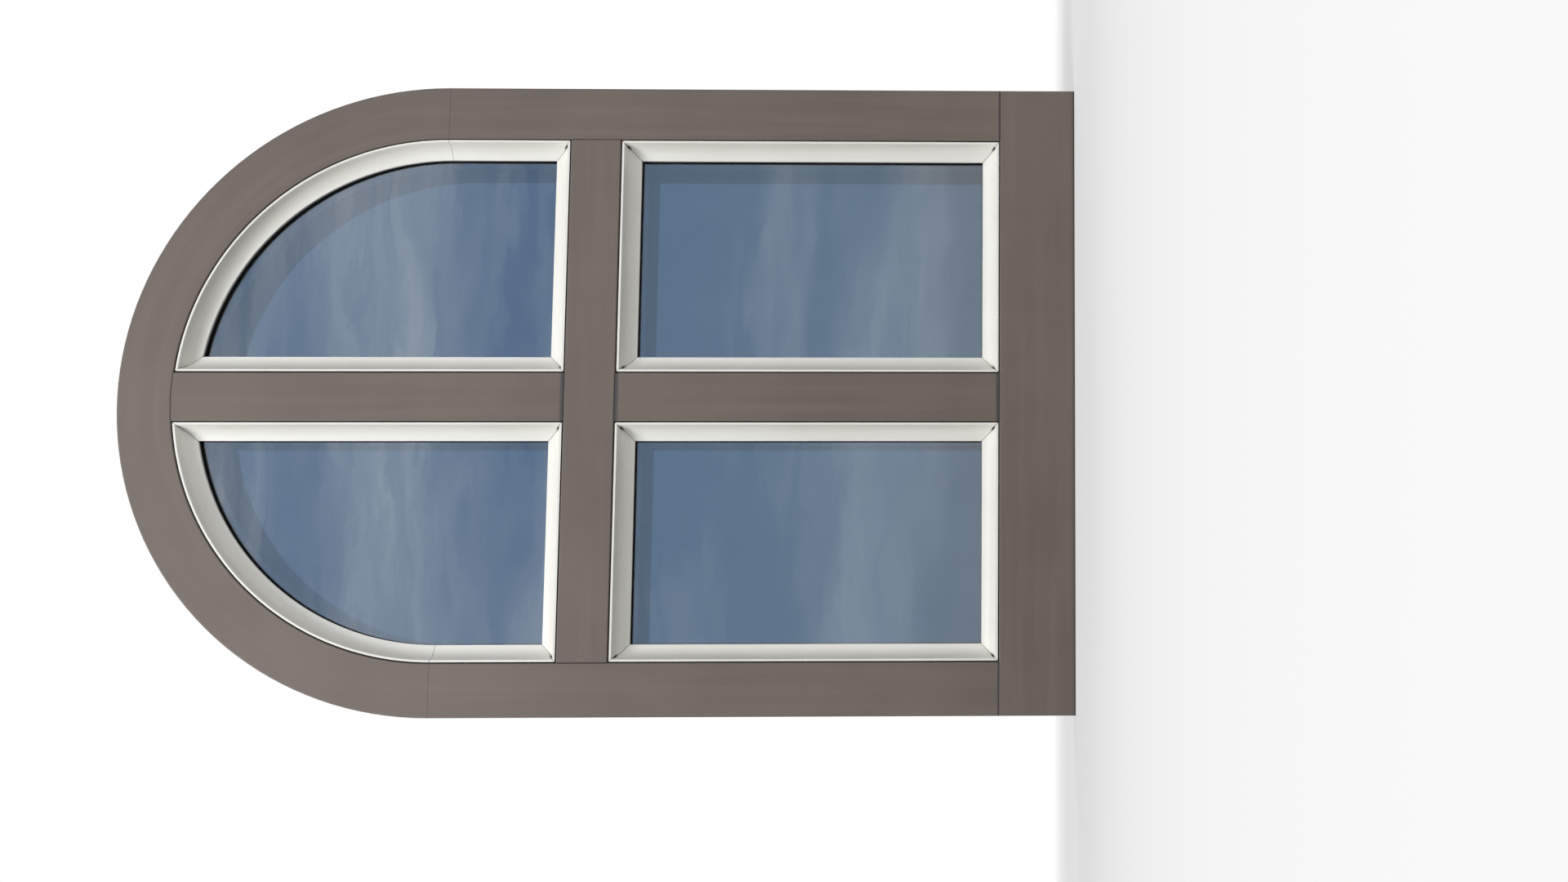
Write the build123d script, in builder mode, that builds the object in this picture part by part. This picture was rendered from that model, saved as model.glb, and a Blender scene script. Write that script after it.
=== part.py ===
from build123d import *
from math import acos, atan2, ceil, degrees, isclose, sqrt
import os

# Round-headed fixed window of painted timber: a frame with a transom and a mullion, and four
# double-glazed lights held from outside by mitred glazing beads.
# Millimetres. X runs to the right as seen from outside, Y inwards and Z up. The origin is the
# middle of the frame's underside, halfway through its depth.

# Frame timber
width = 500
height = 750
depth = 90
jamb_face = 42
rail_face = 60
transom_face = 40
mullion_face = 39
transom_height = 363
rebate = 14
arris = 1.2
inside_round = 3
drip_width = 6
drip_depth = 5
drip_setback = 10

# Glazing, from the bead inwards
bead_depth = 15
tape_thickness = 3
pane_thickness = 4
cavity = 16
edge_clearance = 4
seal_height = 4
spacer_height = 7
tape_edge = 5
tape_margin = 0.5

# Bead section
bead_gap = 0.8
bead_recess = 0.5
ridge_width = 1.6
quirk_width = 1
quirk_depth = 2.6
lip_width = 2.2
lip_drop = 0.6
lip_height = 2.4
cove_bulge = 1.1
mitre_gap = 0.3

# Small opening left in the cove of each square mitre
pit_length = 5
pit_width = 1.8
pit_inset = 5.5
pit_depth = 8

# Bead pins
pin_radius = 0.8
pin_length = 25
pin_head_radius = 1.3
pin_head_length = 1
pin_start = 6.5
pin_height = 4
pin_tilt = 14
pin_spacing = 110
fewest_pins = 2

# Dowels in the frame joints
dowel_radius = 6
dowel_length = 60
dowel_chamfer = 1
dowel_setback = 25
dowel_end_gap = 1

# Holes through the jambs for the wall fixings
fixing_radius = 3.75
fixing_head_radius = 6.5
fixing_head_depth = 8
fixing_setback = 30
fixing_height = 150
fixing_spacing = 280

# Blocks that carry and centre the glass
block_length = 28
setting_shares = (0.25, 0.75)
location_shares = (0.2, 0.8)
short_side_share = 0.75

# Places that follow from these sizes
arch_outer = width / 2
arch_face = arch_outer - jamb_face
arch_stop = arch_face - rebate
spring = height - arch_outer
transom_top = transom_height + transom_face
mullion_side = mullion_face / 2
glass_setback = bead_depth + tape_thickness
cavity_setback = glass_setback + pane_thickness
inner_pane_setback = cavity_setback + cavity
inner_tape_setback = inner_pane_setback + pane_thickness
stop_setback = inner_tape_setback + tape_thickness
stop_thickness = depth - stop_setback
unit_thickness = cavity + 2 * pane_thickness
jamb_middle = arch_outer - jamb_face / 2
bead_height = bead_depth - bead_recess
mitre_reach = mullion_face + 4 * rebate

os.makedirs("parts", exist_ok=True)


def save(piece, name):
    """Label a finished piece and write it to its own file"""
    piece.part.label = name
    export_step(piece.part, f"parts/{name}.step")


def save_pair(piece, row, name):
    """Write a right-hand piece of one row of lights, and its mirror image on the left"""
    with BuildPart() as left:
        mirror(piece.part, about=Plane.YZ)
    save(piece, f"{row}_right_{name}")
    save(left, f"{row}_left_{name}")


def layer(setback):
    """Upright plane this far behind the frame's outside face, seen from outside"""
    return Plane.XZ.offset(depth / 2 - setback)


def arch_rise(radius, x):
    """Height above the frame's foot where an arch of this radius stands over x"""
    return spring + sqrt(radius**2 - x**2)


def corners(row, inset):
    """Corners of a right-hand light, anticlockwise from the mullion's foot, drawn this far
    inside the sides of its rebate. The upper light's third corner is the spring of the arch."""
    left = mullion_side + inset
    right = arch_face - inset
    if row == "lower":
        bottom = rail_face + inset
        top = transom_height - inset
        return [(left, bottom), (right, bottom), (right, top), (left, top)]
    bottom = transom_top + inset
    return [(left, bottom), (right, bottom), (right, spring), (left, arch_rise(right, left))]


def light(row, inset):
    """Face of a right-hand light, drawn this far inside the sides of its rebate"""
    foot, foot_end, side_end, head = corners(row, inset)
    with BuildSketch() as face:
        with BuildLine():
            Polyline(head, foot, foot_end, side_end)
            if row == "lower":
                Line(side_end, head)
            else:
                RadiusArc(side_end, head, -(arch_face - inset))
        make_face()
    return face.sketch


def plate(row, inset, setback, thickness):
    """Solid plate that fills a light, such as a pane"""
    with BuildPart() as solid:
        with BuildSketch(layer(setback)):
            add(light(row, inset))
        extrude(amount=-thickness)
    return solid


def ring(row, outer_inset, inner_inset, setback, thickness):
    """Flat ring that follows a light's edge, such as a tape or a spacer bar"""
    with BuildPart() as solid:
        with BuildSketch(layer(setback)):
            add(light(row, outer_inset))
            add(light(row, inner_inset), mode=Mode.SUBTRACT)
        extrude(amount=-thickness)
    return solid


def upright(x, z):
    """Position of a point on the plane through the middle of the frame's depth"""
    return Vector(x, 0, z)


def bead_plane(point, along):
    """Plane of a bead's section: x into the light, y outwards from the bead's back"""
    back = Vector(point.X, bead_depth - depth / 2, point.Z)
    return Plane(back, x_dir=along.cross(Vector(0, 1, 0)), z_dir=along)


def section():
    """Bead section: a narrow ridge beside the frame, a quirk, a hollow cove and a thin lip"""
    ridge_end = bead_gap + ridge_width
    cove_start = (ridge_end + quirk_width, bead_height - quirk_depth)
    cove_end = (rebate - lip_width, lip_height + lip_drop)
    middle_x = (cove_start[0] + cove_end[0]) / 2 - cove_bulge
    middle_y = (cove_start[1] + cove_end[1]) / 2 - cove_bulge
    with BuildSketch() as face:
        with BuildLine():
            Polyline((rebate, lip_height), (rebate, 0), (bead_gap, 0), (bead_gap, bead_height),
                     (ridge_end, bead_height), cove_start)
            ThreePointArc(cove_start, (middle_x, middle_y), cove_end)
            Line(cove_end, (rebate, lip_height))
        make_face()
    return face.sketch


def mitre(row, corner, side):
    """Plane of a bead's end cut at a corner of its light: side is 1 where the bead starts
    there and -1 where it ends"""
    outer = upright(*corners(row, 0)[corner])
    inner = upright(*corners(row, rebate)[corner])
    normal = Vector(0, side, 0).cross((inner - outer).normalized())
    return Plane(outer + normal * (mitre_gap / 2), z_dir=normal)


def cut_mitre(plane):
    """Cut the bead being made at this plane, no further along it than its own end"""
    with Locations(plane):
        Box(mitre_reach, mitre_reach, mitre_reach, align=(Align.CENTER, Align.CENTER, Align.MAX),
            mode=Mode.SUBTRACT)


def bead_names(row):
    """Beads of a right-hand light, anticlockwise from the one at its foot"""
    if row == "lower":
        return ["rail_bead", "jamb_bead", "transom_bead", "mullion_bead"]
    return ["transom_bead", "jamb_bead", "arch_bead", "mullion_bead"]


def bead_run(row, index):
    """Start of a bead on the side of the rebate, its direction there and its straight length"""
    start = upright(*corners(row, 0)[index])
    end = upright(*corners(row, 0)[(index + 1) % 4])
    if bead_names(row)[index] == "arch_bead":
        return start, Vector(0, 0, 1), 0
    return start, (end - start).normalized(), (end - start).length


def pin_seats(row, index):
    """Section planes along one bead of a right-hand light, one where each pin goes in"""
    start, along, length = bead_run(row, index)
    if length == 0:
        sweep = acos(mullion_side / arch_face)
        count = ceil(sweep * arch_face / pin_spacing)
        centre = upright(0, spring)
        turns = [-degrees(sweep * (number + 0.5) / count) for number in range(count)]
        return [bead_plane(centre + Vector(arch_face, 0, 0).rotate(Axis.Y, turn),
                           along.rotate(Axis.Y, turn)) for turn in turns]
    count = max(fewest_pins, ceil(length / pin_spacing))
    return [bead_plane(start + along * (length * (number + 0.5) / count), along)
            for number in range(count)]


def pit_places(row):
    """Where the cove of a square mitre stands a little open, along the mitre"""
    places = []
    for outer, inner, middle in zip(corners(row, 0), corners(row, rebate), corners(row, pit_inset)):
        run_x = inner[0] - outer[0]
        run_z = inner[1] - outer[1]
        if isclose(abs(run_x), abs(run_z)):
            places.append(Location((*middle, 0), (0, 0, degrees(atan2(run_z, run_x)))))
    return places


# Pins that hold the beads: driven through the bead into the frame, with their heads sunk
with BuildPart() as right_pins:
    for row in ("lower", "upper"):
        for index in range(4):
            for seat in pin_seats(row, index):
                head = seat.from_local_coords((pin_start, pin_height))
                direction = (-seat.x_dir).rotate(Axis((0, 0, 0), seat.z_dir), pin_tilt)
                with Locations(Plane(head, x_dir=seat.z_dir, z_dir=direction)):
                    Cylinder(pin_radius, pin_length, align=(Align.CENTER, Align.CENTER, Align.MIN))
                    Cylinder(pin_head_radius, pin_head_length,
                             align=(Align.CENTER, Align.CENTER, Align.MIN))

with BuildPart() as bead_pins:
    add(right_pins.part)
    mirror(right_pins.part, about=Plane.YZ)
save(bead_pins, "bead_pins")

# Dowels: upright ones at the feet and heads of the uprights, level ones at the transom's ends
upright_joints = [
    (-jamb_middle, rail_face, dowel_length),
    (jamb_middle, rail_face, dowel_length),
    (-jamb_middle, spring, dowel_length),
    (jamb_middle, spring, dowel_length),
    (0, rail_face, dowel_length),
    (0, transom_height + transom_face / 2, dowel_length + transom_face),
    (0, spring + arch_face, dowel_length),
]
level_joints = [-arch_face, arch_face]
dowel_rows = [dowel_setback - depth / 2, depth / 2 - dowel_setback]


def dowel_set(end_gap):
    """All the dowels of the frame, or with an end gap the holes that they go into"""
    with BuildPart() as dowels:
        for y in dowel_rows:
            for x, z, length in upright_joints:
                with Locations((x, y, z)):
                    Cylinder(dowel_radius, length + 2 * end_gap)
            for x in level_joints:
                with Locations(Location((x, y, transom_height + transom_face / 2), (0, 90, 0))):
                    Cylinder(dowel_radius, dowel_length + 2 * end_gap)
    return dowels


dowel_holes = dowel_set(dowel_end_gap)
joint_dowels = dowel_set(0)
with joint_dowels:
    chamfer(joint_dowels.edges().filter_by(GeomType.CIRCLE), dowel_chamfer)
save(joint_dowels, "joint_dowels")


def cut_joints():
    """Cut the holes for dowels and bead pins from the frame piece being made"""
    add(dowel_holes.part, mode=Mode.SUBTRACT)
    add(bead_pins.part, mode=Mode.SUBTRACT)


def rebated_profile():
    """Section of jamb and arch on the right, with the rebate for glass and bead on its inside"""
    front = -depth / 2
    shoulder = front + stop_setback
    with BuildSketch() as face:
        with BuildLine():
            Polyline((arch_face, front), (arch_outer, front), (arch_outer, depth / 2),
                     (arch_stop, depth / 2), (arch_stop, shoulder), (arch_face, shoulder),
                     close=True)
        make_face()
        fillet(face.vertices().group_by(Axis.Y)[0], arris)
        fillet(face.vertices().group_by(Axis.Y)[-1].sort_by(Axis.X)[0], inside_round)
    return face.sketch


def soften(piece, along):
    """Ease the long edges of a straight member: fine outside, rounder inside"""
    fillet(piece.edges().filter_by(along).group_by(Axis.Y)[0], arris)
    fillet(piece.edges().filter_by(along).group_by(Axis.Y)[-1], inside_round)


# Bottom rail, with the stop that stands up between the jambs and a drip groove underneath
with BuildPart() as frame_bottom_rail:
    with BuildSketch(layer(0)):
        Rectangle(width, rail_face, align=(Align.CENTER, Align.MIN))
    extrude(amount=-depth)
    with BuildSketch(layer(stop_setback)):
        Rectangle(2 * arch_stop, rail_face + rebate, align=(Align.CENTER, Align.MIN))
    extrude(amount=-stop_thickness)
    fillet(frame_bottom_rail.faces().sort_by(Axis.Y)[0].edges(), arris)
    fillet(frame_bottom_rail.edges().filter_by(Axis.X).group_by(Axis.Z)[-1].sort_by(Axis.Y)[-1],
           inside_round)
    with BuildSketch(Plane.XY):
        with Locations((0, -depth / 2 + drip_setback)):
            Rectangle(width, drip_width, align=(Align.CENTER, Align.MIN))
    extrude(amount=drip_depth, mode=Mode.SUBTRACT)
    cut_joints()
save(frame_bottom_rail, "frame_bottom_rail")

# Jamb, with its two fixing holes drilled outwards from the rebate
with BuildPart() as frame_jamb:
    with BuildSketch(Plane.XY.offset(rail_face)):
        add(rebated_profile())
    extrude(amount=spring - rail_face)
    fixing_plane = Plane((arch_face, -depth / 2 + fixing_setback, fixing_height),
                         x_dir=(0, 0, 1), z_dir=(-1, 0, 0))
    with Locations(fixing_plane):
        with Locations((0, 0), (fixing_spacing, 0)):
            CounterBoreHole(fixing_radius, fixing_head_radius, fixing_head_depth, jamb_face)
    cut_joints()
save(frame_jamb, "frame_jamb_right")

with BuildPart() as frame_jamb_left:
    mirror(frame_jamb.part, about=Plane.YZ)
save(frame_jamb_left, "frame_jamb_left")

# Half-round arch, the jamb's section turned about the centre of the head
with BuildPart() as frame_arch:
    with BuildSketch(Plane.XY.offset(spring)):
        add(rebated_profile())
    revolve(axis=Axis((0, 0, spring), (0, -1, 0)), revolution_arc=180)
    cut_joints()
save(frame_arch, "frame_arch")

# Transom between the jambs, rebated above and below
with BuildPart() as transom:
    with BuildSketch(layer(0)):
        with Locations((0, transom_height)):
            Rectangle(2 * arch_face, transom_face, align=(Align.CENTER, Align.MIN))
    extrude(amount=-stop_setback)
    with BuildSketch(layer(stop_setback)):
        with Locations((0, transom_height - rebate)):
            Rectangle(2 * arch_stop, transom_face + 2 * rebate, align=(Align.CENTER, Align.MIN))
    extrude(amount=-stop_thickness)
    soften(transom, Axis.X)
    cut_joints()
save(transom, "transom")

# Lower mullion between rail and transom
with BuildPart() as mullion_lower:
    with BuildSketch(layer(0)):
        with Locations((0, rail_face)):
            Rectangle(mullion_face, transom_height - rail_face, align=(Align.CENTER, Align.MIN))
    extrude(amount=-stop_setback)
    with BuildSketch(layer(stop_setback)):
        with Locations((0, rail_face + rebate)):
            Rectangle(mullion_face + 2 * rebate, transom_height - rail_face - 2 * rebate,
                      align=(Align.CENTER, Align.MIN))
    extrude(amount=-stop_thickness)
    soften(mullion_lower, Axis.Z)
    cut_joints()
save(mullion_lower, "mullion_lower")


def arched_bar(foot, half_width, radius):
    """Face of an upright bar that ends in an arch of this radius"""
    shoulder = arch_rise(radius, half_width)
    with BuildSketch() as face:
        with BuildLine():
            Polyline((half_width, shoulder), (half_width, foot), (-half_width, foot),
                     (-half_width, shoulder))
            ThreePointArc((-half_width, shoulder), (0, spring + radius), (half_width, shoulder))
        make_face()
    return face.sketch


# Upper mullion, scribed to the arch at its head
with BuildPart() as mullion_upper:
    with BuildSketch(layer(0)):
        add(arched_bar(transom_top, mullion_side, arch_face))
    extrude(amount=-stop_setback)
    with BuildSketch(layer(stop_setback)):
        add(arched_bar(transom_top + rebate, mullion_side + rebate, arch_stop))
    extrude(amount=-stop_thickness)
    soften(mullion_upper, Axis.Z)
    cut_joints()
save(mullion_upper, "mullion_upper")

# Sealed double-glazed units with their tapes
for row in ("lower", "upper"):
    spacer_inset = edge_clearance + seal_height
    outer_pane = plate(row, edge_clearance, glass_setback, pane_thickness)
    inner_pane = plate(row, edge_clearance, inner_pane_setback, pane_thickness)
    spacer = ring(row, spacer_inset, spacer_inset + spacer_height, cavity_setback, cavity)
    edge_seal = ring(row, edge_clearance, spacer_inset, cavity_setback, cavity)
    outer_tape = ring(row, tape_edge, rebate - tape_margin, bead_depth, tape_thickness)
    inner_tape = ring(row, tape_edge, rebate - tape_margin, inner_tape_setback, tape_thickness)
    save_pair(outer_pane, row, "outer_pane")
    save_pair(inner_pane, row, "inner_pane")
    save_pair(spacer, row, "spacer_bar")
    save_pair(edge_seal, row, "edge_seal")
    save_pair(outer_tape, row, "outer_tape")
    save_pair(inner_tape, row, "inner_tape")

# Glazing beads, each cut to its mitres
for row in ("lower", "upper"):
    for index, name in enumerate(bead_names(row)):
        start, along, length = bead_run(row, index)
        follower = (index + 1) % 4
        with BuildPart() as bead:
            with BuildSketch(bead_plane(start, along)):
                add(section())
            if length > 0:
                extrude(amount=length)
            else:
                revolve(axis=Axis((0, 0, spring), (0, -1, 0)), revolution_arc=90)
            cut_mitre(mitre(row, index, 1))
            cut_mitre(mitre(row, follower, -1))
            with BuildSketch(layer(0)):
                with Locations(pit_places(row)):
                    SlotOverall(pit_length, pit_width)
            extrude(amount=-pit_depth, mode=Mode.SUBTRACT)
            add(right_pins.part, mode=Mode.SUBTRACT)
        save_pair(bead, row, name)

# Blocks under and beside each glazed unit
unit_middle = -depth / 2 + glass_setback + unit_thickness / 2
with BuildPart() as setting_blocks:
    for row in ("lower", "upper"):
        foot, foot_end, side_end, head = corners(row, 0)
        for share in setting_shares:
            x = foot[0] + (foot_end[0] - foot[0]) * share
            for side in (-1, 1):
                with Locations((side * x, unit_middle, foot[1])):
                    Box(block_length, unit_thickness, edge_clearance,
                        align=(Align.CENTER, Align.CENTER, Align.MIN))
save(setting_blocks, "setting_blocks")

with BuildPart() as location_blocks:
    for row in ("lower", "upper"):
        foot, foot_end, side_end, head = corners(row, 0)
        mullion_heights = [foot[1] + (head[1] - foot[1]) * share for share in location_shares]
        jamb_heights = [foot[1] + (side_end[1] - foot[1]) * share for share in location_shares]
        if row == "upper":
            jamb_heights = [foot[1] + (side_end[1] - foot[1]) * short_side_share]
        for side in (-1, 1):
            for z in mullion_heights:
                with Locations((side * (foot[0] + edge_clearance / 2), unit_middle, z)):
                    Box(edge_clearance, unit_thickness, block_length)
            for z in jamb_heights:
                with Locations((side * (foot_end[0] - edge_clearance / 2), unit_middle, z)):
                    Box(edge_clearance, unit_thickness, block_length)
save(location_blocks, "location_blocks")
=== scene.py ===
from math import radians
import bpy
from mathutils import Euler, Matrix, Vector


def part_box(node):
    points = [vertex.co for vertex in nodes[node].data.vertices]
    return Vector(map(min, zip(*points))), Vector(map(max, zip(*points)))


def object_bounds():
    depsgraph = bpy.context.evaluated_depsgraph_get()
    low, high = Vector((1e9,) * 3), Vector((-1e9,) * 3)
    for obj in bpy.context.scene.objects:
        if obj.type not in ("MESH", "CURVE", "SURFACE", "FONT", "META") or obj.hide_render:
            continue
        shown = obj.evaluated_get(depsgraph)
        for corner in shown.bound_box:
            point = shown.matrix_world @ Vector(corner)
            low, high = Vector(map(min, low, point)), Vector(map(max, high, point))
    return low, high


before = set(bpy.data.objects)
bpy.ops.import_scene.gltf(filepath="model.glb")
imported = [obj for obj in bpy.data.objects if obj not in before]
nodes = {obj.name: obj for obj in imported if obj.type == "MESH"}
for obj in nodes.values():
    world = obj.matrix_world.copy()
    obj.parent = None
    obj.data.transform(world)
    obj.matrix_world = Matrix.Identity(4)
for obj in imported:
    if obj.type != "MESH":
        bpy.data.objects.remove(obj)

# Round-headed window of painted timber with four double-glazed lights, in a plain studio.
# Lengths are in metres and angles in degrees. X runs to the right as seen from outside,
# Y inwards and Z up.

cad_low, cad_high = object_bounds()

spring_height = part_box("frame_arch")[0].z
rail_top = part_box("frame_jamb_right")[0].z
transom_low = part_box("mullion_lower")[1].z
transom_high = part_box("mullion_upper")[0].z
transom_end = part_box("transom")[1].x
arch_radius = cad_high.x
window_middle = (cad_low + cad_high) / 2

# The photograph's camera. The photograph lies on its side, so the camera is rolled
camera_place = Vector((-0.1945, -1.4446, 0.0315))
camera_pitch = -1.5
camera_yaw = -6.5
camera_roll = -90
photo_lens = 13.63

# The picture is drawn in round the window
zoom = 3
picture_shift = (-0.19, 0.0)
clip_start = 0.01

# Studio
world_light = 0.36
key_power = 64
fill_power = 10
back_power = 34
panel_distance = 3.4

# Rounded edges of the painted timber
weld_reach = 0.000002
edge_steps = 2
sharp_angle = 32
frame_edge = 0.0004
bead_edge = 0.00025

# How far the dark line at each of the frame's joints reaches to either side
hairline = 0.0003
transom_joint = 0.0007
foot_joint = 0.0014
mullion_joint = 0.0036

# Colours, linear
taupe = (0.136, 0.100, 0.074)
taupe_pale = (0.176, 0.136, 0.104)
taupe_dark = (0.108, 0.079, 0.058)
cream = (0.820, 0.800, 0.745)
cream_pale = (0.860, 0.845, 0.800)
cream_dark = (0.740, 0.715, 0.650)
# Near black for painted shade with some dust in grooves and corners, and for the dark lines at the
# frame's joints
grime_and_shade = (0.026, 0.021, 0.018)
glass_tint = (0.165, 0.235, 0.325)
glass_tint_pale = (0.190, 0.262, 0.348)
spacer_grey = (0.36, 0.37, 0.38)
spacer_pale = (0.50, 0.51, 0.52)
sealant_black = (0.012, 0.012, 0.013)
sealant_pale = (0.030, 0.030, 0.032)
tape_black = (0.014, 0.014, 0.015)
tape_pale = (0.035, 0.035, 0.037)
block_blue = (0.02, 0.09, 0.30)
block_pale = (0.04, 0.14, 0.40)
beech_brown = (0.42, 0.25, 0.13)
beech_pale = (0.62, 0.42, 0.25)
beech_fleck = (0.20, 0.10, 0.05)
steel_grey = (0.42, 0.41, 0.40)
steel_pale = (0.60, 0.59, 0.57)
floor_grey = (0.45, 0.45, 0.45)
sky_deep = (0.56, 0.86, 1.36)
sky_haze = (0.92, 1.20, 1.45)
sky_foot = (1.00, 1.00, 1.00)
sky_cloud = (2.30, 2.55, 2.75)

paint_index = 1.5
glass_index = 1.95


class Shading:
    """A node tree, built by short calls"""

    def __init__(self, tree):
        self.tree = tree

    def node(self, kind, **settings):
        """Add a node with these settings"""
        made = self.tree.nodes.new(kind)
        for setting, value in settings.items():
            setattr(made, setting, value)
        return made

    def feed(self, target, value):
        """Link an output to an input, or set the input where a plain value is given"""
        if isinstance(value, bpy.types.NodeSocket):
            self.tree.links.new(value, target)
        else:
            target.default_value = value

    def math(self, operation, first, second=0.0):
        """Sum, product or the like of one or two values"""
        made = self.node("ShaderNodeMath", operation=operation)
        self.feed(made.inputs[0], first)
        self.feed(made.inputs[1], second)
        return made.outputs[0]

    def spread(self, value, span, onto=(0.0, 1.0)):
        """Stretch this span of the value onto another, and hold it at that one's ends"""
        made = self.node("ShaderNodeMapRange")
        self.feed(made.inputs["Value"], value)
        ends = ("From Min", "From Max", "To Min", "To Max")
        for end, number in zip(ends, (*span, *onto)):
            made.inputs[end].default_value = number
        return made.outputs["Result"]

    def seen(self):
        """1 for rays from the camera, metal and glass, 0 for rays that light the window"""
        rays = self.node("ShaderNodeLightPath").outputs
        mirrored = self.math("MAXIMUM", rays["Is Glossy Ray"], rays["Is Transmission Ray"])
        return self.math("MAXIMUM", rays["Is Camera Ray"], mirrored)


class Finish(Shading):
    """A material around one Principled shader"""

    def __init__(self, name, **sockets):
        self.material = bpy.data.materials.new(name)
        self.material.use_nodes = True
        super().__init__(self.material.node_tree)
        self.shader = self.tree.nodes["Principled BSDF"]
        for socket, value in sockets.items():
            self.shader.inputs[socket.replace("_", " ")].default_value = value
        self.place = self.node("ShaderNodeTexCoord").outputs["Object"]

    def set(self, socket, value):
        """Link or set a socket of the shader"""
        self.feed(self.shader.inputs[socket], value)

    def surface(self, shader):
        """Give the material another shader than the Principled one"""
        self.feed(self.tree.nodes["Material Output"].inputs["Surface"], shader)

    def axes(self):
        """X, Y and Z of the place"""
        split = self.node("ShaderNodeSeparateXYZ")
        self.feed(split.inputs[0], self.place)
        return split.outputs

    def along(self, run):
        """Place on the piece with Z along its run: level, upright or round the arch"""
        x, y, z = self.axes()
        if run == "level":
            parts = (z, y, x)
        elif run == "upright":
            parts = (x, y, z)
        else:
            rise = self.math("SUBTRACT", z, spring_height)
            angle = self.math("ARCTAN2", x, rise)
            squares = [self.math("MULTIPLY", side, side) for side in (x, rise)]
            span = self.math("SQRT", self.math("ADD", *squares))
            parts = (span, y, self.math("MULTIPLY", angle, arch_radius))
        joined = self.node("ShaderNodeCombineXYZ")
        for socket, part in zip(joined.inputs, parts):
            self.feed(socket, part)
        return joined.outputs[0]

    def noise(self, place, scale, detail=3, roughness=0.55, distortion=0.0):
        """Noise of this scale, in cycles a metre along each axis or along all three"""
        mapping = self.node("ShaderNodeMapping")
        self.feed(mapping.inputs["Vector"], place)
        mapping.inputs["Scale"].default_value = scale if isinstance(scale, tuple) else (scale,) * 3
        made = self.node("ShaderNodeTexNoise")
        self.feed(made.inputs["Vector"], mapping.outputs[0])
        made.inputs["Scale"].default_value = 1.0
        made.inputs["Detail"].default_value = detail
        made.inputs["Roughness"].default_value = roughness
        made.inputs["Distortion"].default_value = distortion
        return made.outputs["Fac"]

    def blend(self, share, first, second):
        """Mix of two colours, with this share of the second"""
        made = self.node("ShaderNodeMix", data_type="RGBA")
        self.feed(made.inputs["Factor"], share)
        colours = [socket for socket in made.inputs if socket.type == "RGBA"]
        for socket, value in zip(colours, (first, second)):
            self.feed(socket, value if isinstance(value, bpy.types.NodeSocket) else (*value, 1.0))
        return [socket for socket in made.outputs if socket.type == "RGBA"][0]

    def bump(self, height, depth, normal=None):
        """Relief of this depth"""
        made = self.node("ShaderNodeBump")
        self.feed(made.inputs["Height"], height)
        made.inputs["Distance"].default_value = depth
        if normal is not None:
            self.feed(made.inputs["Normal"], normal)
        return made.outputs["Normal"]

    def crevices(self, reach):
        """1 on an open face, less in grooves and corners within this reach"""
        made = self.node("ShaderNodeAmbientOcclusion", samples=6)
        made.inputs["Distance"].default_value = reach
        return made.outputs["AO"]

    def edges(self, radius):
        """0 on a flat face, rising on sharp edges, where a rounded normal leaves the true one"""
        flat, sharp = 0.995, 0.85
        rounded = self.node("ShaderNodeBevel", samples=4)
        rounded.inputs["Radius"].default_value = radius
        geometry = self.node("ShaderNodeNewGeometry")
        likeness = self.node("ShaderNodeVectorMath", operation="DOT_PRODUCT")
        self.feed(likeness.inputs[0], rounded.outputs[0])
        self.feed(likeness.inputs[1], geometry.outputs["Normal"])
        return self.spread(likeness.outputs["Value"], (flat, sharp))

    def seam(self, axis, at, reach):
        """1 at this place along X or Z, falling to 0 at this reach from it"""
        full = reach * 0.4
        off = self.math("ABSOLUTE", self.math("SUBTRACT", self.axes()[axis], at))
        return self.spread(off, (reach, full))


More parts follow.
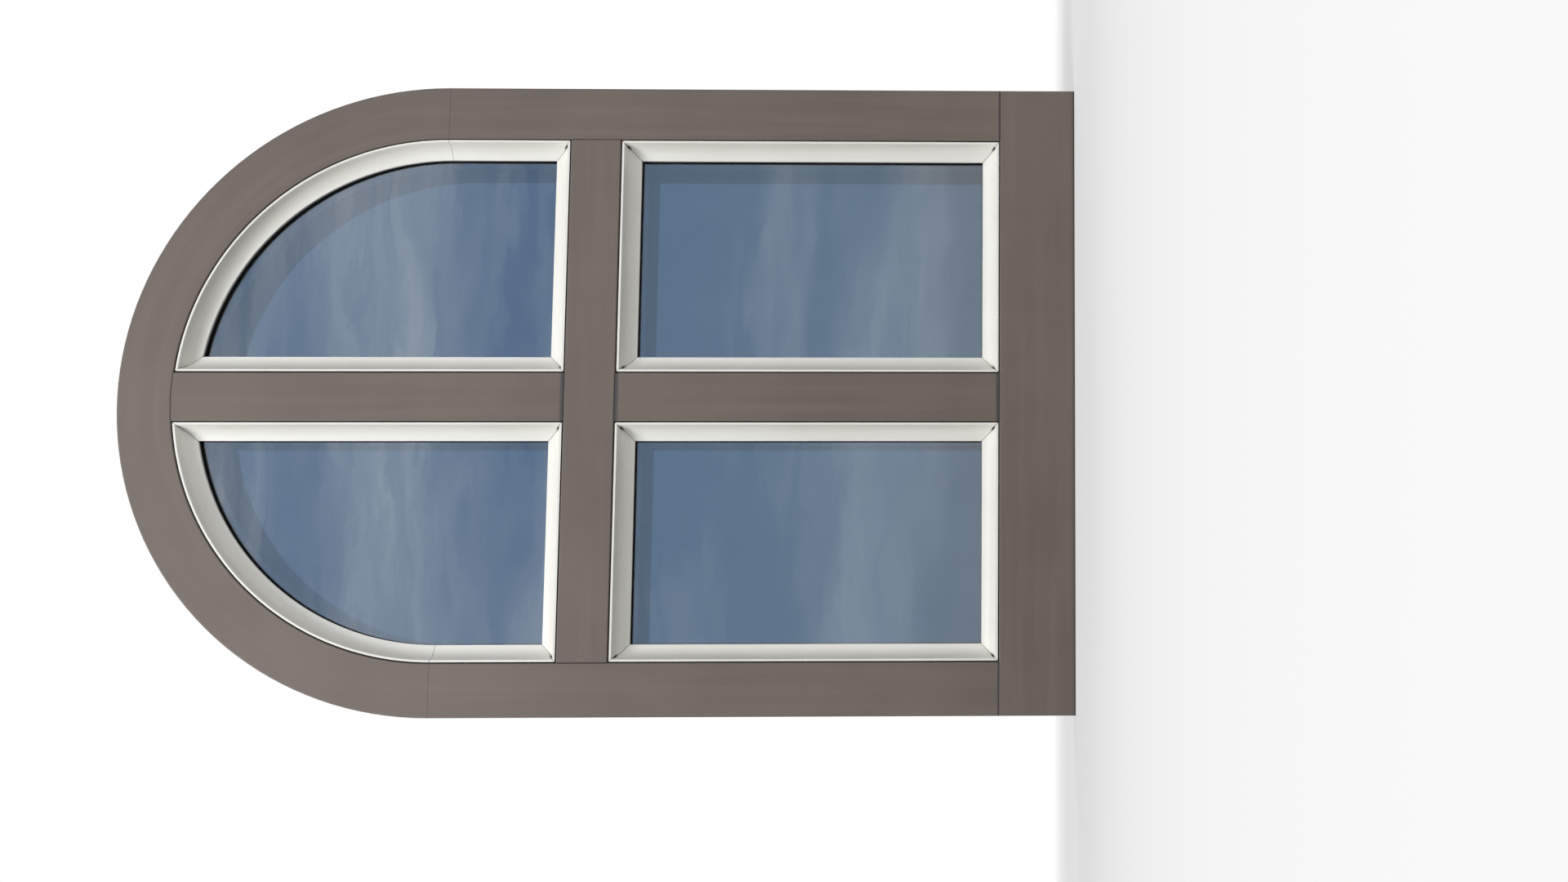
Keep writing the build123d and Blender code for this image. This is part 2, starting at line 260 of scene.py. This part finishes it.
def paint(name, run, seams, colours, grain_depth, roughness, shade_dirt_span):
    """Brushed satin paint on timber, with the grain showing faintly along the piece. Grooves and
    corners get painted shade with some dust, and sharp edges a pale mix of rubbed paint and painted
    highlight
    """
    pale_share = 0.42
    wear_highlight_radius = 0.0009
    shade_dirt_reach = 0.004
    shade_dirt_share = 0.95
    seam_share = 0.9
    stroke_depth = grain_depth * 0.6
    skin_depth = 0.00001

    middle, pale, dark = colours
    finish = Finish(name, IOR=paint_index)
    place = finish.along(run)
    clouds = finish.noise(finish.place, 7, detail=4, roughness=0.6)
    streaks = finish.noise(place, (90, 90, 3.5), detail=4, roughness=0.6)
    grain = finish.noise(place, (420, 420, 9), detail=5, roughness=0.65, distortion=0.4)
    strokes = finish.noise(place, (900, 900, 22), detail=2, roughness=0.5)
    skin = finish.noise(finish.place, 1300, detail=2, roughness=0.5)

    colour = finish.blend(finish.spread(clouds, (0.36, 0.68)), dark, middle)
    pale_streaks = finish.spread(streaks, (0.45, 0.75), onto=(0.0, pale_share))
    colour = finish.blend(pale_streaks, colour, pale)
    # Pale arrises: partly rubbed paint, partly a painted highlight along sharp edges, in uneven
    # stretches
    wear_and_highlight = finish.spread(streaks, (0.3, 0.6), onto=(0.25, 0.8))
    worn_highlit_edges = finish.math("MULTIPLY", finish.edges(wear_highlight_radius), wear_and_highlight)
    colour = finish.blend(worn_highlit_edges, colour, pale)
    # Painted shade: ambient occlusion darkens grooves, gaps and corners, with some dust in uneven
    # patches. The joint lines added after it are dark joints
    shade_and_dirt = finish.spread(finish.crevices(shade_dirt_reach), shade_dirt_span, onto=(0.0, shade_dirt_share))
    patches = finish.spread(clouds, (0.3, 0.7), onto=(0.75, 1.0))
    shade_and_dirt = finish.math("MULTIPLY", shade_and_dirt, patches)
    for axis, at, reach in seams:
        line = finish.math("MULTIPLY", finish.seam(axis, at, reach), seam_share)
        shade_and_dirt = finish.math("MAXIMUM", shade_and_dirt, line)
    finish.set("Base Color", finish.blend(shade_and_dirt, colour, grime_and_shade))

    gloss_span = (roughness - 0.06, roughness + 0.08)
    finish.set("Roughness", finish.spread(streaks, (0.25, 0.75), onto=gloss_span))
    relief = finish.bump(grain, grain_depth)
    relief = finish.bump(strokes, stroke_depth, relief)
    finish.set("Normal", finish.bump(skin, skin_depth, relief))
    return finish.material


def glass(name, drift):
    """Tinted pane, slightly wavy, with a thin film. The drift gives each pane its own waves"""
    wave_depth = 0.0009
    ripple_depth = 0.00003

    finish = Finish(name, IOR=glass_index, Transmission_Weight=1.0, Roughness=0.0)
    shifted = finish.node("ShaderNodeVectorMath", operation="ADD")
    finish.feed(shifted.inputs[0], finish.place)
    shifted.inputs[1].default_value = drift
    place = shifted.outputs[0]
    waves = finish.noise(place, (5, 5, 9), detail=2, roughness=0.45)
    ripple = finish.noise(place, (34, 34, 60), detail=2, roughness=0.5)
    film = finish.spread(finish.noise(place, (22, 22, 6), detail=5, roughness=0.6), (0.35, 0.7))
    finish.set("Base Color", finish.blend(film, glass_tint, glass_tint_pale))
    relief = finish.bump(waves, wave_depth)
    finish.set("Normal", finish.bump(ripple, ripple_depth, relief))
    return finish.material


def figured(name, colours, noise, gloss_span, depth, **sockets):
    """Material in which one noise sets colour, roughness and relief"""
    finish = Finish(name, **sockets)
    figure = finish.noise(finish.place, **noise)
    finish.set("Base Color", finish.blend(figure, *colours))
    finish.set("Roughness", finish.spread(figure, (0.2, 0.8), onto=gloss_span))
    finish.set("Normal", finish.bump(figure, depth))
    return finish.material


def spacer_metal():
    """Mill-finished bar, drawn lengthwise"""
    return figured("spacer_metal", (spacer_grey, spacer_pale), {"scale": (60, 2600, 60)},
                   gloss_span=(0.34, 0.5), depth=0.00002, Metallic=1.0)


def unit_sealant():
    """Dark sealant on the edge of a glazing unit"""
    return figured("unit_sealant", (sealant_black, sealant_pale),
                   {"scale": 700, "detail": 4, "roughness": 0.6},
                   gloss_span=(0.55, 0.8), depth=0.00008)


def foam_tape():
    """Dark foam tape between glass and timber"""
    return figured("tape", (tape_black, tape_pale),
                   {"scale": 2600, "detail": 4, "roughness": 0.6},
                   gloss_span=(0.55, 0.8), depth=0.00006)


def drawn_steel():
    """Stainless pins with drawing lines"""
    return figured("pin_steel", (steel_grey, steel_pale), {"scale": (3000, 200, 3000), "detail": 2},
                   gloss_span=(0.22, 0.36), depth=0.00001, Metallic=1.0)


def moulded_block():
    """Blue moulded plastic"""
    texture_depth = 0.00002

    finish = Finish("block_plastic", Subsurface_Weight=0.1)
    texture = finish.noise(finish.place, 1500)
    flow = finish.noise(finish.place, 60)
    finish.set("Base Color", finish.blend(flow, block_blue, block_pale))
    finish.set("Roughness", finish.spread(texture, (0.2, 0.8), onto=(0.35, 0.5)))
    finish.set("Normal", finish.bump(texture, texture_depth))
    return finish.material


def beech():
    """Bare beech with short dark flecks"""
    fleck_share = 0.6
    grain_depth = 0.00008

    finish = Finish("dowel_wood")
    grain = finish.noise(finish.place, (300, 300, 18), detail=5, roughness=0.6)
    flecks = finish.noise(finish.place, (1100, 1100, 140), detail=2)
    flecks = finish.spread(flecks, (0.62, 0.75), onto=(0.0, fleck_share))
    colour = finish.blend(grain, beech_brown, beech_pale)
    finish.set("Base Color", finish.blend(flecks, colour, beech_fleck))
    finish.set("Roughness", finish.spread(grain, (0.2, 0.8), onto=(0.55, 0.7)))
    finish.set("Normal", finish.bump(grain, grain_depth))
    return finish.material


def ending(*words):
    """CAD nodes whose names end in one of these words"""
    return [name for name in nodes if name.endswith(words)]


def dress(names, material):
    """Give these CAD nodes one material"""
    for name in names:
        mesh = nodes[name].data
        mesh.materials.clear()
        mesh.materials.append(material)


def ease(names, width):
    """Round the sharp edges of these CAD nodes a little, and keep their wide faces' shading"""
    for name in names:
        weld = nodes[name].modifiers.new("weld", "WELD")
        weld.merge_threshold = weld_reach
        bevel = nodes[name].modifiers.new("ease", "BEVEL")
        bevel.width = width
        bevel.segments = edge_steps
        bevel.limit_method = "ANGLE"
        bevel.angle_limit = radians(sharp_angle)
        weigh = nodes[name].modifiers.new("weigh", "WEIGHTED_NORMAL")
        weigh.mode = "FACE_AREA"


# The run, nodes and seams of each set. A seam has an axis, a place along it and a reach
frame_sets = {
    "rail": ("level", ["frame_bottom_rail"], []),
    "transom": ("level", ["transom"],
                [("X", -transom_end, transom_joint), ("X", transom_end, transom_joint)]),
    "jambs": ("upright", ["frame_jamb_left", "frame_jamb_right"],
              [("Z", rail_top, foot_joint), ("Z", spring_height, hairline)]),
    "mullions": ("upright", ["mullion_lower", "mullion_upper"],
                 [("Z", at, mullion_joint) for at in (rail_top, transom_low, transom_high)]),
    "arch": ("round", ["frame_arch"], [("Z", spring_height, hairline)]),
}
bead_runs = {
    "level": ending("rail_bead", "transom_bead"),
    "upright": ending("jamb_bead", "mullion_bead"),
    "round": ending("arch_bead"),
}
for word, (run, names, seams) in frame_sets.items():
    dress(names, paint(f"frame_paint_{word}", run, seams, (taupe, taupe_pale, taupe_dark),
                       grain_depth=0.00006, roughness=0.56, shade_dirt_span=(0.93, 0.45)))
    ease(names, frame_edge)
for run, names in bead_runs.items():
    dress(names, paint(f"bead_paint_{run}", run, [], (cream, cream_pale, cream_dark),
                       grain_depth=0.00003, roughness=0.40, shade_dirt_span=(0.72, 0.25)))
    ease(names, bead_edge)
dress(ending("outer_pane"), glass("pane_glass_outer", drift=(0.0, 0.0, 0.0)))
dress(ending("inner_pane"), glass("pane_glass_inner", drift=(3.1, 1.7, 5.3)))
dress(ending("spacer_bar"), spacer_metal())
dress(ending("edge_seal"), unit_sealant())
dress(ending("outer_tape", "inner_tape"), foam_tape())
dress(["setting_blocks", "location_blocks"], moulded_block())
dress(["joint_dowels"], beech())
dress(["bead_pins"], drawn_steel())


def put(name, data):
    """New object of the scene"""
    made = bpy.data.objects.new(name, data)
    bpy.context.scene.collection.objects.link(made)
    return made


def sheet_of(name, corners, material):
    """Flat four-cornered surface of the studio"""
    mesh = bpy.data.meshes.new(name)
    mesh.from_pydata(corners, [], [(0, 1, 2, 3)])
    mesh.materials.append(material)
    made = put(name, mesh)
    return made


def floor():
    """Pale matt floor under the window, which turns white away from it"""
    near_glow = 0.5
    fade = (0.5, 1.6)
    half = 30.0

    finish = Finish("floor_paint", Base_Color=(*floor_grey, 1.0), Roughness=1.0,
                    Specular_IOR_Level=0.0)
    distance = finish.node("ShaderNodeVectorMath", operation="LENGTH")
    finish.feed(distance.inputs[0], finish.place)
    away = finish.spread(distance.outputs["Value"], fade)
    lift = finish.math("ADD", finish.math("MULTIPLY", away, 1.0 - near_glow), near_glow)
    white = finish.node("ShaderNodeEmission")
    white.inputs["Strength"].default_value = 1.0
    joined = finish.node("ShaderNodeMixShader")
    finish.feed(joined.inputs[0], finish.math("MULTIPLY", lift, finish.seen()))
    finish.feed(joined.inputs[1], finish.shader.outputs[0])
    finish.feed(joined.inputs[2], white.outputs[0])
    finish.surface(joined.outputs[0])
    sheet_of("floor", [(-half, -half, 0), (half, -half, 0), (half, half, 0), (-half, half, 0)],
             finish.material)


def graded_panel(name, y):
    """Large panel that only the gloss of glass and paint sees, pale blue with soft bands"""
    haze_span = (1.5, 0.3)
    foot_span = (0.45, 0.0)
    high_span = (1.0, 2.3)
    half, low, high = 8.0, -2.0, 8.0

    finish = Finish(name)
    height = finish.axes()["Z"]
    bands = finish.noise(finish.place, (0.30, 1.0, 1.7), detail=4, roughness=0.6, distortion=0.4)
    wisps = finish.noise(finish.place, (0.9, 1.0, 10.0), detail=4, roughness=0.65, distortion=0.3)
    thick = finish.math("ADD", bands, finish.spread(height, high_span, onto=(-0.04, 0.13)))
    wisps = finish.spread(wisps, (0.3, 0.7), onto=(0.4, 1.0))
    cloud = finish.math("MULTIPLY", finish.spread(thick, (0.50, 0.74)), wisps)
    colour = finish.blend(finish.spread(height, haze_span), sky_deep, sky_haze)
    colour = finish.blend(cloud, colour, sky_cloud)
    colour = finish.blend(finish.spread(height, foot_span), colour, sky_foot)
    glow = finish.node("ShaderNodeEmission")
    finish.feed(glow.inputs["Color"], colour)
    finish.surface(glow.outputs[0])
    panel = sheet_of(name, [(-half, y, low), (half, y, low), (half, y, high), (-half, y, high)],
                     finish.material)
    panel.visible_camera = False
    panel.visible_diffuse = False
    panel.visible_transmission = False
    panel.visible_shadow = False


def surroundings():
    """White to the camera, metal and glass, and less bright as light on the window"""
    world = bpy.data.worlds.new("studio")
    bpy.context.scene.world = world
    world.use_nodes = True
    sky = Shading(world.node_tree)
    background = world.node_tree.nodes["Background"]
    background.inputs["Color"].default_value = (1.0, 1.0, 1.0, 1.0)
    strength = sky.spread(sky.seen(), (0.0, 1.0), onto=(world_light, 1.0))
    sky.feed(background.inputs["Strength"], strength)


def lamp(name, place, size, power):
    """Soft rectangular lamp that faces the window"""
    light = bpy.data.lights.new(name, "AREA")
    light.shape = "RECTANGLE"
    light.size, light.size_y = size
    light.energy = power
    made = put(name, light)
    made.location = place
    made.rotation_euler = (window_middle - Vector(place)).to_track_quat("-Z", "Y").to_euler()
    made.visible_camera = False
    made.visible_transmission = False
    return made


def camera():
    """The photograph's camera, zoomed and shifted to the window"""
    lens = bpy.data.cameras.new("camera")
    lens.lens = photo_lens * zoom
    lens.shift_x, lens.shift_y = picture_shift
    lens.clip_start = clip_start
    turn = Euler((radians(90 + camera_pitch), 0, radians(camera_yaw))).to_matrix().to_4x4()
    roll = Matrix.Rotation(radians(camera_roll), 4, "Z")
    made = put("camera", lens)
    made.matrix_world = Matrix.Translation(camera_place) @ turn @ roll
    bpy.context.scene.camera = made


floor()
surroundings()
graded_panel("panel_outside", -panel_distance)
graded_panel("panel_inside", panel_distance)
lamp("key", place=(-1.0, -1.7, 2.5), size=(1.0, 1.0), power=key_power)
fill = lamp("fill", place=(1.6, -1.6, 0.9), size=(1.0, 1.4), power=fill_power)
fill.visible_glossy = False
lamp("back", place=(0.9, 1.9, 1.7), size=(1.2, 1.2), power=back_power)
camera()
bpy.context.scene.view_settings.view_transform = "Standard"
